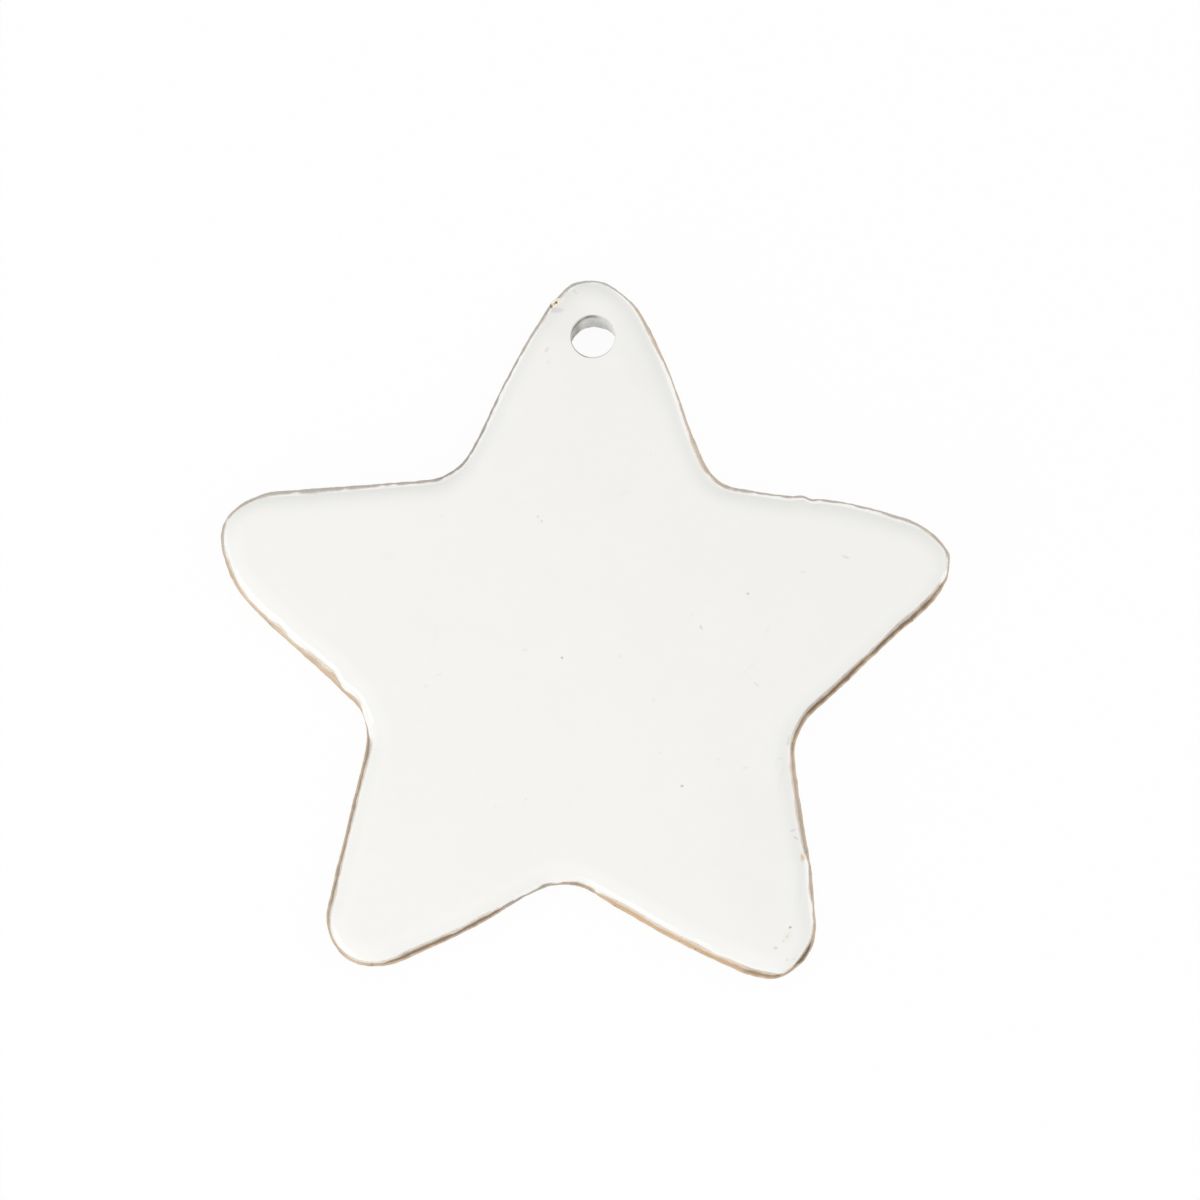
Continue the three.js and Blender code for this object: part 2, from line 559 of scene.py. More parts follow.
def press(piece, place, push, reach):
    """Moves a slice of the edge outward by push, and what lies round it less and less."""
    place = Vector((*place, 0)) * mm
    shape = bmesh.from_edit_mesh(piece.data)
    beside = min(
        (point for point in shape.verts if glaze_seat < point.co.z < wall_top),
        key=lambda point: (point.co - place).xy.length,
    )
    outward = Vector((*beside.normal.xy, 0)).normalized()
    place = Vector((*beside.co.xy, 0))
    along = Vector((-outward.y, outward.x, 0))

    def in_the_slice(point):
        away = point.co - place
        beyond = away.dot(outward)
        return abs(away.dot(along)) < slice_half_width and -slice_inside < beyond < slice_outside

    pick_points(piece, in_the_slice)
    drag(outward * push * mm, reach * mm)


def press_all(piece, marks):
    edit(piece)
    bpy.ops.mesh.select_mode(type="VERT")
    for _, place, push, reach in marks:
        press(piece, place, push, reach)
    bpy.ops.object.mode_set(mode="OBJECT")


for piece in (clay, glaze):
    press_all(piece, hand_marks + nicks)
print(len(hand_marks + nicks), "marks pressed into both pieces")

# %% [markdown]
# Where the glaze ran
#
# Wet glaze creeps down the edge before it sets. Where it ran far, it covers nearly all of the bare
# foot, and where it drew back, more of the tan clay shows. Only the glaze moves here, by the same
# thumb strokes. Then the wiped foot, the glaze's lower edge and its front get a small unevenness,
# each from a cloud pattern that moves only the points of one named group.

# %% Let the glaze run
glaze_runs = [
    # Top arm
    ("tip", (1.2, 42.0), 0.12, 5),
    ("left corner", (-4.5, 39.6), 0.13, 3),
    ("right corner", (5.5, 39.2), 0.14, 5),
    ("right flank", (9.5, 30.0), 0.2, 9),
    ("left flank", (-9.0, 31.0), 0.2, 11),
    ("foot of the left flank", (-12.0, 25.0), 0.04, 3),
    # Upper left notch
    ("bottom", (-13.5, 22.5), 0.12, 5),
    # Left arm
    ("drawn back on top", (-30.3, 18.0), -0.06, 2.5),
    ("tip, upper side", (-38.8, 14.6), 0.08, 4),
    ("foot of the upper side", (-19.0, 19.2), 0.06, 9),
    # Upper right notch
    ("below", (19.5, 19.4), 0.07, 3),
    # Right arm
    ("upper side", (26.0, 18.6), 0.1, 12),
    ("upper corner", (37.5, 15.5), 0.07, 3),
    ("tip", (40.0, 10.5), 0.18, 4),
    ("lower side", (32.5, 1.8), 0.09, 4),
    # Lower right notch
    ("bottom", (23.5, -9.0), 0.1, 3),
    # Right leg
    ("outer corner", (26.6, -28.0), 0.18, 5),
    ("toe", (24.0, -34.0), 0.15, 3),
    ("run on the flank", (25.7, -22.7), 0.2, 2.8),
    ("under the toe", (22.8, -34.9), 0.18, 2.2),
    ("past the inner corner", (15.5, -32.9), 0.13, 3.2),
    ("inner flank", (9.0, -29.6), 0.1, 9),
    # Bottom notch
    ("right", (2.0, -26.3), 0.25, 4),
    ("middle", (-0.8, -25.3), 0.23, 3),
    ("left", (-4.8, -26.8), 0.32, 6),
    # Left leg
    ("inner flank", (-11.0, -30.5), 0.14, 8),
    ("under the toe", (-21.0, -35.2), 0.24, 4),
    ("toe", (-25.5, -32.5), 0.26, 6),
    ("outer flank", (-25.3, -21.0), 0.06, 12),
    # Lower left notch
    ("bottom", (-23.8, -7.7), 0.37, 3.5),
    # Left arm
    ("low", (-26.0, -4.6), 0.3, 2.5),
    ("drawn back", (-27.2, -3.7), -0.22, 1.6),
    ("a short run", (-29.9, -1.2), 0.04, 2),
    ("a run", (-31.6, 0.2), 0.22, 2.5),
    ("a run further out", (-34.3, 2.5), 0.08, 2.2),
    ("under the tip", (-36.5, 4.2), 0.26, 5),
    ("tip", (-40.0, 10.0), 0.2, 5),
]
press_all(glaze, glaze_runs)
print(len(glaze_runs), "runs in the glaze")


# %% Uneven foot and glaze line
def name_points(piece, name, wanted):
    """Puts the wanted points in a group of their own."""
    group = piece.vertex_groups.new(name=name)
    edit(piece)
    pick_points(piece, wanted)
    bpy.ops.object.vertex_group_assign()
    bpy.ops.object.mode_set(mode="OBJECT")
    return group.name


def ripple(piece, name, size, height, direction, group=""):
    """Moves points by a cloud pattern of one size, up to half the height each way."""
    clouds = bpy.data.textures.new(name, "CLOUDS")
    clouds.noise_scale = size
    clouds.noise_depth = 1
    modify(
        piece,
        "DISPLACE",
        texture=clouds,
        direction=direction,
        strength=height,
        mid_level=0.5,
        vertex_group=group,
    )


foot = name_points(clay, "foot", lambda point: 0.05 * mm < point.co.z < 1.0 * mm)
line = name_points(glaze, "glaze line", lambda point: point.co.z < glaze_seat + 0.1 * mm)
front = name_points(glaze, "front", lambda point: point.co.z > wall_top - 0.05 * mm)
ripple(clay, "wiped foot", size=0.8 * mm, height=0.14 * mm, direction="NORMAL", group=foot)
ripple(glaze, "ragged line", size=1.1 * mm, height=0.2 * mm, direction="NORMAL", group=line)
ripple(glaze, "soft front", size=6 * mm, height=0.08 * mm, direction="Z", group=front)
print("foot", foot, "line", line, "front", front)

# %% Give the glaze its thickness
modify(glaze, "SOLIDIFY", thickness=glaze_thickness, offset=-1, use_even_offset=True)
print("glaze", len(glaze.data.polygons), "faces")

for piece in (clay, glaze):
    take(piece)
    bpy.ops.object.shade_smooth_by_angle(angle=math.radians(50))


# %% [markdown]
# The crumb
#
# While the glaze was wet, a crumb of clay about a millimetre long fell on the top arm's left edge
# and was fired in. It is a ball of small faces, squeezed long, pricked twice and roughened by a
# cloud pattern, and it sits half sunk in the shoulder.

# %% Crumb of clay
crumb_place = Vector((-3.98, 38.42, 5.1)) * mm
crumb_radius = 0.5 * mm
crumb_turn = 38  # degrees anticlockwise, along the arm's edge
prick_reach = 0.22 * mm
let_go()
bpy.ops.mesh.primitive_ico_sphere_add(subdivisions=5, radius=crumb_radius, location=crumb_place)
crumb = bpy.context.object
crumb.name = "clay_crumb"
edit(crumb)
bpy.ops.mesh.select_all(action="SELECT")
bpy.ops.transform.resize(value=(1.5, 0.85, 0.9), center_override=crumb_place)
for place, depth in (((0.1, -0.05), 0.3), ((-0.35, -0.1), 0.25)):
    spot = Vector((*place, 0)) * mm
    shape = bmesh.from_edit_mesh(crumb.data)
    top = max(shape.verts, key=lambda point: point.co.z * mm - (point.co - spot).xy.length_squared)
    pick_points(crumb, lambda point: point == top)
    drag((0, 0, -depth * mm), prick_reach)
bpy.ops.object.mode_set(mode="OBJECT")
crumb.rotation_euler.z = math.radians(crumb_turn)
bpy.ops.object.transform_apply(location=True, rotation=True, scale=True)
ripple(crumb, "crumbly", size=0.3 * mm, height=0.22 * mm, direction="NORMAL")
take(crumb)
bpy.ops.object.shade_smooth_by_angle(angle=math.radians(60))
print("crumb", [round(1000 * side, 2) for side in crumb.dimensions], "mm")


# %% [markdown]
# Nodes
#
# A material is a small machine of nodes. These helpers add a node, join two sockets, work a sum or
# lay one colour over another, so that the materials below read like a list of what is laid on.


# %% Helpers for nodes
def add(tree, kind, **settings):
    made = tree.nodes.new(f"ShaderNode{kind}")
    for setting, value in settings.items():
        setattr(made, setting, value)
    return made


def wire(tree, source, target):
    """Joins two sockets, or sets the second one where the first is a plain value."""
    if isinstance(source, bpy.types.NodeSocket):
        tree.links.new(source, target)
    else:
        target.default_value = source


def reckon(tree, operation, first, second, clamp=False):
    """Works a sum with two values, kept from 0 to 1 if clamp is set."""
    sum_node = add(tree, "Math", operation=operation, use_clamp=clamp)
    wire(tree, first, sum_node.inputs[0])
    wire(tree, second, sum_node.inputs[1])
    return sum_node.outputs[0]


def times(tree, first, second, clamp=False):
    return reckon(tree, "MULTIPLY", first, second, clamp)


def reckon_vectors(tree, operation, *values):
    """Works a sum with vectors and returns the node's outputs."""
    node = add(tree, "VectorMath", operation=operation)
    for value, socket in zip(values, node.inputs):
        wire(tree, value, socket)
    return node.outputs


def height_of(tree, place):
    parts = add(tree, "SeparateXYZ")
    wire(tree, place, parts.inputs[0])
    return parts.outputs["Z"]


def clouds_at(tree, place, size, detail):
    """A cloud pattern with patches of a size."""
    clouds = add(tree, "TexNoise")
    clouds.inputs["Detail"].default_value = detail
    wire(tree, place, clouds.inputs["Vector"])
    wire(tree, reckon(tree, "DIVIDE", 1.0, size), clouds.inputs["Scale"])
    return clouds.outputs[0]


def slope(tree, value, low, high):
    """A soft step from 0 at low to 1 at high."""
    step = add(tree, "MapRange", interpolation_type="SMOOTHSTEP")
    wire(tree, value, step.inputs["Value"])
    wire(tree, low, step.inputs["From Min"])
    wire(tree, high, step.inputs["From Max"])
    return step.outputs["Result"]


def blend(tree, under, over, mask):
    """One value going over to another where the mask is 1."""
    node = add(tree, "Mix", data_type="FLOAT")
    wire(tree, mask, node.inputs[0])
    wire(tree, under, node.inputs[2])
    wire(tree, over, node.inputs[3])
    return node.outputs[0]


def lay(tree, under, colour, mask, strength=1.0):
    """Lays a colour over what is under it, where the mask says so."""
    coat = add(tree, "Mix", data_type="RGBA")
    wire(tree, times(tree, mask, strength), coat.inputs[0])
    wire(tree, under, coat.inputs[6])
    wire(tree, (*colour, 1), coat.inputs[7])
    return coat.outputs[2]


def emboss(tree, surface, relief, depth):
    """Gives a surface a fine relief with a depth."""
    bump = add(tree, "Bump")
    bump.inputs["Distance"].default_value = depth
    wire(tree, relief, bump.inputs["Height"])
    wire(tree, bump.outputs[0], surface.inputs["Normal"])


def label_of(key):
    return key.replace("_", " ").capitalize()


def effect(name, gives, *places, **values):
    """An empty node group: its inputs are places and values, and its output is a value."""
    group = bpy.data.node_groups.new(name, "ShaderNodeTree")
    for key in places:
        group.interface.new_socket(label_of(key), in_out="INPUT", socket_type="NodeSocketVector")
    for key, value in values.items():
        socket = group.interface.new_socket(
            label_of(key), in_out="INPUT", socket_type="NodeSocketFloat"
        )
        socket.default_value = value
    group.interface.new_socket(gives, in_out="OUTPUT", socket_type="NodeSocketFloat")
    entry = group.nodes.new("NodeGroupInput")
    exit_node = group.nodes.new("NodeGroupOutput")
    print(name, "takes", [label_of(key) for key in (*places, *values)])
    return group, entry.outputs, exit_node.inputs[gives]


def use(tree, group, at, **values):
    """Puts an effect in a material with its own values."""
    made = add(tree, "Group", node_tree=group)
    wire(tree, at, made.inputs["Place"])
    for key, value in values.items():
        wire(tree, value, made.inputs[label_of(key)])
    return made.outputs[0]


print("node helpers ready")

# %% [markdown]
# Effects that clay and glaze share
#
# Fired clay and glaze are uneven in the same few ways: the tone drifts in patches, small specks
# show, the surface has a fine grain, and single marks lie at known places. Each of these is a node
# group with named inputs, built once here, and each material uses it with its own values.

# %% Mottling
mottling, given, result = effect("mottling", "Mask", "place", patch=4 * mm, contrast=2)
patches = clouds_at(mottling, given["Place"], given["Patch"], 3)
off_the_mean = reckon(mottling, "SUBTRACT", patches, 0.5)
spread = times(mottling, off_the_mean, given["Contrast"])
wire(mottling, reckon(mottling, "ADD", spread, 0.5, clamp=True), result)

# %% Specks
specks, given, result = effect("specks", "Mask", "place", spacing=1 * mm, speck=0.1 * mm, share=0.3)
cells = add(specks, "TexVoronoi", feature="F1")
wire(specks, given["Place"], cells.inputs["Vector"])
wire(specks, reckon(specks, "DIVIDE", 1.0, given["Spacing"]), cells.inputs["Scale"])
size = reckon(specks, "DIVIDE", given["Speck"], given["Spacing"])
inside = slope(specks, cells.outputs["Distance"], size, times(specks, size, 0.4))
lot = add(specks, "SeparateColor")
wire(specks, cells.outputs["Color"], lot.inputs[0])
drawn = reckon(specks, "LESS_THAN", lot.outputs[0], given["Share"])
wire(specks, times(specks, inside, drawn), result)

# %% Grain
grain, given, result = effect("grain", "Height", "place", coarse=1 * mm, fine=0.2 * mm, mix=0.5)
coarse, fine = (clouds_at(grain, given["Place"], given[label], 2) for label in ("Coarse", "Fine"))
fine_part = times(grain, fine, given["Mix"])
wire(grain, reckon(grain, "ADD", coarse, fine_part), result)

# %% Single marks
mark, given, result = effect("mark", "Mask", "place", "middle", "half_size", "turn", softness=0.7)
local = add(mark, "Mapping", vector_type="TEXTURE")
wire(mark, given["Place"], local.inputs["Vector"])
wire(mark, given["Middle"], local.inputs["Location"])
wire(mark, given["Turn"], local.inputs["Rotation"])
wire(mark, given["Half size"], local.inputs["Scale"])
away = reckon_vectors(mark, "LENGTH", local.outputs[0])["Value"]
inner = reckon(mark, "SUBTRACT", 1.0, given["Softness"])
wire(mark, slope(mark, away, 1.0, inner), result)


foot_level = 1  # how high the middles of marks lie, in millimetres
crumb_level = 5
front_level = 6


def mark_at(tree, at, middle, length, width, turn, softness=0.7, level=front_level, height=60):
    """One mark: its middle and sizes in millimetres, its turn anticlockwise in degrees."""
    return use(
        tree,
        mark,
        at,
        middle=Vector((*middle, level)) * mm,
        half_size=Vector((length, width, height)) * mm / 2,
        turn=(0, 0, math.radians(turn)),
        softness=softness,
    )


# %% [markdown]
# Bare clay
#
# Buff clay fires to a warm sand tone. Close to, it is drifting tones, dark and pale grains, and a
# dry gritty skin. Just under the glaze it is dark brown: partly a stain of metal salts, partly
# painted shade in the hollow under the glaze's edge, most of all on the lower right, away from the
# low lamp, and hardly at all on the lower left. Rust warms it on the right leg. Painted grey shade
# lies on the sides towards the top, and painted dark shade at a few hollows on the shaded sides.
# Each of these four tinges has a colour, the height from which it shows, its strength elsewhere and
# a list of places, each with its middle, length and width in millimetres, its turn in degrees and
# its strength. The crumb is paler, partly painted light on its lit top, and has burnt spots
# instead.


# %% Material of the clay
dust_tone = (0.82, 0.70, 0.55)
dark_grain_tone = (0.26, 0.18, 0.12)
pale_grain_tone = (0.88, 0.80, 0.68)
burnt_tone = (0.16, 0.11, 0.08)
tinge_fade = 0.17  # millimetres in which a tinge comes up


def start_material(name):
    material = bpy.data.materials.new(name)
    material.use_nodes = True
    tree = material.node_tree
    at = add(tree, "TexCoord").outputs["Object"]
    return material, tree, at, tree.nodes["Principled BSDF"]


def bare_clay(name, light_tone, dark_tone, tinges=(), burns=()):
    material, tree, at, surface = start_material(name)
    patches = use(tree, mottling, at, patch=3.5 * mm, contrast=2.4)
    colour = lay(tree, (*dark_tone, 1), light_tone, patches)
    dust = use(tree, mottling, at, patch=0.9 * mm, contrast=3.0)
    colour = lay(tree, colour, dust_tone, dust, 0.3)
    dark_grains = use(tree, specks, at, spacing=0.9 * mm, speck=0.13 * mm, share=0.4)
    colour = lay(tree, colour, dark_grain_tone, dark_grains, 0.75)
    pale_grains = use(tree, specks, at, spacing=0.6 * mm, speck=0.11 * mm, share=0.35)
    colour = lay(tree, colour, pale_grain_tone, pale_grains, 0.6)
    if tinges:
        height = height_of(tree, at)
        smears = use(tree, mottling, at, patch=1.6 * mm, contrast=2.0)
        smeared = reckon(tree, "ADD", smears, 0.6)
        for tint, from_height, elsewhere, places in tinges:
            high = slope(tree, height, from_height * mm, (from_height + tinge_fade) * mm)
            uneven = times(tree, high, smeared, clamp=True)
            amount = elsewhere
            for _, middle, length, width, turn, strength in places:
                here = mark_at(tree, at, middle, length, width, turn, 0.4, foot_level)
                amount = blend(tree, amount, strength, here)
            colour = lay(tree, colour, tint, times(tree, uneven, amount))
    for middle, length, width, strength in burns:
        burnt = mark_at(tree, at, middle, length, width, crumb_turn, level=crumb_level)
        colour = lay(tree, colour, burnt_tone, burnt, strength)
    wire(tree, colour, surface.inputs["Base Color"])
    dryness = reckon(tree, "ADD", times(tree, dust, 0.12), 0.82)
    wire(tree, dryness, surface.inputs["Roughness"])
    surface.inputs["Specular IOR Level"].default_value = 0.3
    grit = use(tree, grain, at, coarse=0.7 * mm, fine=0.16 * mm, mix=0.8)
    emboss(tree, surface, reckon(tree, "SUBTRACT", grit, dark_grains), 0.05 * mm)
    print(name, "has", len(tree.nodes), "nodes")
    return material


# Dark brown under the glaze's edge: partly a stain, partly painted shade on the sides away from the
# low lamp.
stain_and_shade_places = [
    ("right arm, lower side", (31.5, 1.0), 28, 7, 42, 0.93),
    ("right tip, lower corner", (39.6, 8.8), 4, 5, 0, 0.75),
    ("lower right notch", (24.0, -8.0), 6, 6, 0, 0.75),
    ("right leg, outer side", (25.5, -20.0), 28, 5, -80, 0.42),
    ("right leg, corner of the toe", (24.9, -33.0), 6, 6, 0, 1.0),
    ("right leg, under the toe", (21.0, -35.2), 9, 4, 0, 0.85),
    ("left leg, inner flank", (-11.8, -31.1), 25, 6, 27, 0.85),
    ("left leg, outer flank", (-25.0, -20.0), 28, 5, 77, 0.72),
    ("right leg, inner flank", (10.0, -29.8), 21, 5, -26, 0.28),
    ("bottom notch", (-2.5, -26.0), 10, 5, 10, 0.6),
    ("left leg, toe", (-25.0, -33.5), 6, 6, 0, 0.25),
    ("top arm, right flank", (10.0, 30.0), 26, 6, -67, 0.05),
    ("top arm, left flank", (-10.0, 30.0), 26, 6, 66, 0.25),
    ("top tip", (0.0, 41.0), 10, 4, 0, 0.05),
    ("right arm, upper side", (27.0, 18.5), 30, 6, -9, 0.2),
    ("left arm, upper side", (-27.0, 19.0), 32, 7, 5, 0.25),
    ("lower left notch", (-24.2, -7.0), 5, 5, 0, 0.0),
    ("left arm, lower side", (-31.5, 0.5), 23, 6, -44, 0.05),
    ("left tip", (-40.0, 9.0), 7, 7, 0, 0.2),
]
rusty_places = [
    ("right leg, inner flank", (10.5, -30.0), 22, 5, -26, 0.5),
    ("right leg, under the toe", (20.5, -35.3), 8, 3, 0, 0.3),
    ("left leg, end of the inner flank", (-17.0, -33.5), 8, 5, 27, 0.0),
]
# Painted grey shade on the clay of the sides towards the top.
grey_shade_places = [
    ("right arm, upper side", (28.0, 18.2), 32, 7, -9, 0.7),
    ("right tip", (40.0, 12.5), 6, 7, 0, 0.4),
    ("left arm, upper side", (-29.0, 18.8), 37, 8, 5, 0.7),
    ("left tip", (-40.3, 13.0), 8, 8, 0, 0.55),
    ("upper left notch", (-14.0, 21.5), 8, 8, 45, 0.65),
    ("top arm, left flank", (-9.0, 32.2), 31, 7, 66, 0.65),
    ("top arm, right flank", (10.0, 30.0), 26, 6, -67, 0.3),
    ("top tip", (-0.5, 40.6), 16, 7, 10, 0.85),
    ("bottom notch, left", (-4.5, -26.6), 8, 5, 27, 0.6),
    ("right leg, outer side", (25.5, -22.0), 24, 5, -80, 0.2),
    ("left leg, outer flank", (-25.0, -20.0), 28, 5, 77, 0.1),
]
# Painted dark shade at hollows on the sides away from the low lamp.
dark_shade_places = [
    ("right leg, corner of the toe", (24.9, -33.0), 7, 7, 0, 0.3),
    ("top arm, left flank", (-11.0, 27.5), 16, 6, 64, 0.25),
    ("upper left notch", (-14.0, 21.5), 8, 8, 45, 0.25),
    ("top tip, left side", (-4.0, 39.8), 8, 5, 30, 0.15),
    ("bottom notch, left", (-4.8, -26.8), 7, 5, 27, 0.3),
]
clay_tinges = [
    ((0.225, 0.155, 0.10), 0.33, 0.42, stain_and_shade_places),
    ((0.72, 0.47, 0.24), 0.33, 0, rusty_places),
    ((0.57, 0.56, 0.54), 0.22, 0, grey_shade_places),
    ((0.11, 0.10, 0.09), 0.33, 0, dark_shade_places),
]
crumb_burns = [
    ((-4.8, 37.95), 1.3, 1.1, 0.95),
    ((-3.95, 38.4), 0.6, 0.4, 0.8),
    ((-4.45, 38.0), 0.5, 0.4, 0.7),
]
sand = bare_clay("bare_clay", (0.75, 0.62, 0.47), (0.63, 0.49, 0.36), tinges=clay_tinges)
# The crumb's paler tones are partly painted light on its lit top.
pale = bare_clay("crumb_clay", (1.0, 0.93, 0.82), (0.94, 0.83, 0.69), burns=crumb_burns)
clay.data.materials.append(sand)
crumb.data.materials.append(pale)

# %% [markdown]
# White glaze
#
# The glaze is a glossy white with a little cream in it, and changes very gently: a drift of tone
# over the front, partly painted shade towards the upper right and on the shoulder, a whiter side
# where it lies thick, and a peach tint along the lower edge where it thins out and the clay shines
# through. Its own marks are laid on one by one: pinholes where a bubble burst, dashes, scratches, a
# red fleck and a green bloom. Painted light is laid on the same way: a painted shadow and a painted
# highlight at the crumb, painted shade along the right leg's ridge, and broad painted shade on the
# top arm, round the hole and on the right leg. Each has its middle, length and width in
# millimetres, its turn in degrees, its strength and its tone.

# %% Marks in the glaze
tones = {
    "dark": (0.20, 0.19, 0.18),
    "grey": (0.50, 0.50, 0.50),
    "blue grey": (0.42, 0.43, 0.45),
    "violet": (0.34, 0.30, 0.37),
    "olive": (0.36, 0.38, 0.22),
    "green": (0.66, 0.70, 0.42),
    "red": (0.32, 0.06, 0.06),
    "rose": (0.85, 0.55, 0.55),
    "brown": (0.22, 0.17, 0.13),
    "tan": (0.72, 0.48, 0.28),
    "cool": (0.80, 0.86, 0.86),
    "pale": (1.0, 0.99, 0.96),
}
glaze_marks_and_painted_light = [
    ("pinhole near the middle", (-2.0, -1.1), 0.36, 0.30, 0, 0.45, "dark"),
    ("pinhole, right leg", (11.4, -14.7), 0.44, 0.28, 40, 0.45, "dark"),
    ("pinhole in the toe", (23.5, -29.6), 0.42, 0.34, 30, 0.6, "dark"),
    ("bloom in the toe", (23.2, -30.6), 2.2, 1.3, 75, 0.14, "green"),
    ("specks in the bloom", (23.2, -30.6), 0.6, 0.3, 60, 0.3, "olive"),
    ("low speck in the bloom", (22.8, -31.1), 0.3, 0.25, 30, 0.3, "olive"),
    ("dot in the toe", (22.0, -31.9), 0.65, 0.55, 0, 0.25, "dark"),
    ("angled dash", (13.0, 2.7), 0.8, 0.36, -60, 0.26, "dark"),
    ("upper dot of a pair", (-5.1, 14.4), 0.4, 0.28, -60, 0.22, "dark"),
    ("lower dot of a pair", (-4.7, 13.9), 0.45, 0.3, -60, 0.22, "dark"),
    ("dash left of the middle", (-6.1, -0.35), 0.9, 0.4, 15, 0.16, "grey"),
    ("dash right of the middle", (4.3, -0.8), 1.0, 0.4, -50, 0.13, "grey"),
    ("dash below the middle", (8.1, -5.5), 0.7, 0.3, 80, 0.18, "grey"),
    ("dash in the right arm", (28.5, 11.0), 1.3, 0.45, -18, 0.17, "dark"),
    ("dash at the arm's foot", (23.9, 9.2), 1.3, 0.45, 14, 0.14, "grey"),
    ("dashes over the leg", (19.2, -3.4), 1.1, 0.35, -45, 0.2, "grey"),
    ("dash in the left arm", (-15.2, -3.4), 0.9, 0.35, 8, 0.14, "grey"),
    ("second dash there", (-16.6, -4.7), 0.7, 0.5, 40, 0.12, "grey"),
    ("dash high on the left", (-15.6, 14.1), 0.5, 0.4, -60, 0.14, "grey"),
    ("dash in the right leg", (18.2, -12.5), 1.2, 0.4, 20, 0.14, "grey"),
    ("dot in the right leg", (9.0, -11.1), 0.36, 0.3, 0, 0.24, "grey"),
    ("dot beside it", (15.3, -11.7), 0.36, 0.26, 0, 0.2, "grey"),
    ("dot in the left leg", (-8.6, -17.5), 0.34, 0.3, 0, 0.18, "grey"),
    ("second dot there", (-5.4, -16.7), 0.5, 0.3, 20, 0.18, "grey"),
    ("dot by the angled dash", (11.9, 4.0), 0.5, 0.3, 30, 0.14, "grey"),
    ("red fleck", (18.0, 6.6), 0.46, 0.42, 0, 0.32, "red"),
    ("halo of the red fleck", (18.0, 6.4), 1.1, 1.2, 0, 0.05, "rose"),
    ("long scratch", (18.3, -1.6), 3.8, 0.22, 47, 0.1, "grey"),
    ("short scratch", (20.2, 2.6), 2.0, 0.22, 72, 0.09, "grey"),
    ("smudge under the top arm", (4.2, 17.3), 1.6, 0.9, 25, 0.04, "grey"),
    ("round smudge", (-21.3, 9.5), 1.7, 1.5, 0, 0.05, "grey"),
    ("soft patch in the left arm", (-18.5, 1.8), 8.0, 4.5, 20, 0.02, "grey"),
    ("streak in the left arm", (-15.8, 1.2), 3.2, 0.6, 90, 0.03, "grey"),
    # A painted shadow under the crumb.
    ("smudge at the crumb", (-4.0, 37.55), 2.5, 1.0, -5, 0.34, "blue grey"),
    ("streak at the top tip", (-2.8, 39.9), 1.4, 0.35, 30, 0.7, "brown"),
    ("end of that streak", (-1.9, 39.7), 1.0, 0.35, -50, 0.3, "grey"),
    ("dash left of the hole", (-4.8, 33.0), 1.1, 0.45, 60, 0.22, "olive"),
    ("speck under it", (-4.5, 31.6), 0.7, 0.6, 60, 0.16, "green"),
    ("smudge over the right leg", (22.9, -9.4), 2.2, 0.6, 84, 0.3, "olive"),
    ("dash over the right leg", (22.0, -11.3), 1.2, 0.4, 20, 0.14, "grey"),
    # Painted shade lines along the ridge of the right leg's shoulder, and below them a cool painted
    # shade outside it.
    ("ridge, upper part", (22.1, -13.4), 5.0, 0.35, 82, 0.07, "grey"),
    ("ridge, lower part", (24.6, -25.3), 6.5, 0.35, 82, 0.07, "grey"),
    ("upper dash at the ridge", (23.55, -19.1), 0.9, 0.42, 28, 0.26, "violet"),
    ("lower dash at the ridge", (23.9, -19.9), 1.0, 0.42, -20, 0.28, "violet"),
    ("cool strip outside the ridge", (24.7, -22.0), 17, 1.1, 82, 0.22, "cool"),
    # Broad painted shade over the right leg.
    ("cast of the right leg", (19.5, -22.0), 26, 12, -75, 0.03, "grey"),
    ("ring of the blister", (24.75, -21.9), 1.5, 0.95, 80, 0.75, "tan"),
    ("core of the blister", (24.98, -21.85), 0.7, 0.6, 80, 1.0, "brown"),
    # Broad painted shade on the top tip and round the hole.
    ("cast on the top tip", (0.5, 40.2), 9, 4, 0, 0.05, "grey"),
    ("cast left of the hole", (-3.0, 36.6), 6, 8, -20, 0.07, "grey"),
    ("cast right of the hole", (5.6, 33.0), 17, 7, -66, 0.06, "grey"),
    # A painted highlight beside the crumb, and painted shade over it.
    ("pale glaze at the crumb", (-3.45, 38.8), 1.5, 1.0, 30, 0.6, "pale"),
    ("cast over the crumb", (-5.0, 38.3), 3, 5, -35, 0.08, "grey"),
    ("tan fleck in the toe", (23.3, -33.1), 0.5, 0.35, 20, 0.3, "tan"),
    ("dark fleck in the toe", (24.0, -33.0), 0.5, 0.35, 30, 0.2, "blue grey"),
]
print(len(glaze_marks_and_painted_light), "marks in the glaze")

# %% Material of the glaze
white_glaze, tree, at, surface = start_material("white_glaze")
height = height_of(tree, at)
cream = use(tree, mottling, at, patch=7 * mm, contrast=2.0)
colour = lay(tree, (0.908, 0.899, 0.868, 1), (0.918, 0.909, 0.878), cream)
milk = use(tree, mottling, at, patch=1.3 * mm, contrast=2.0)
colour = lay(tree, colour, (0.87, 0.87, 0.83), milk, 0.25)

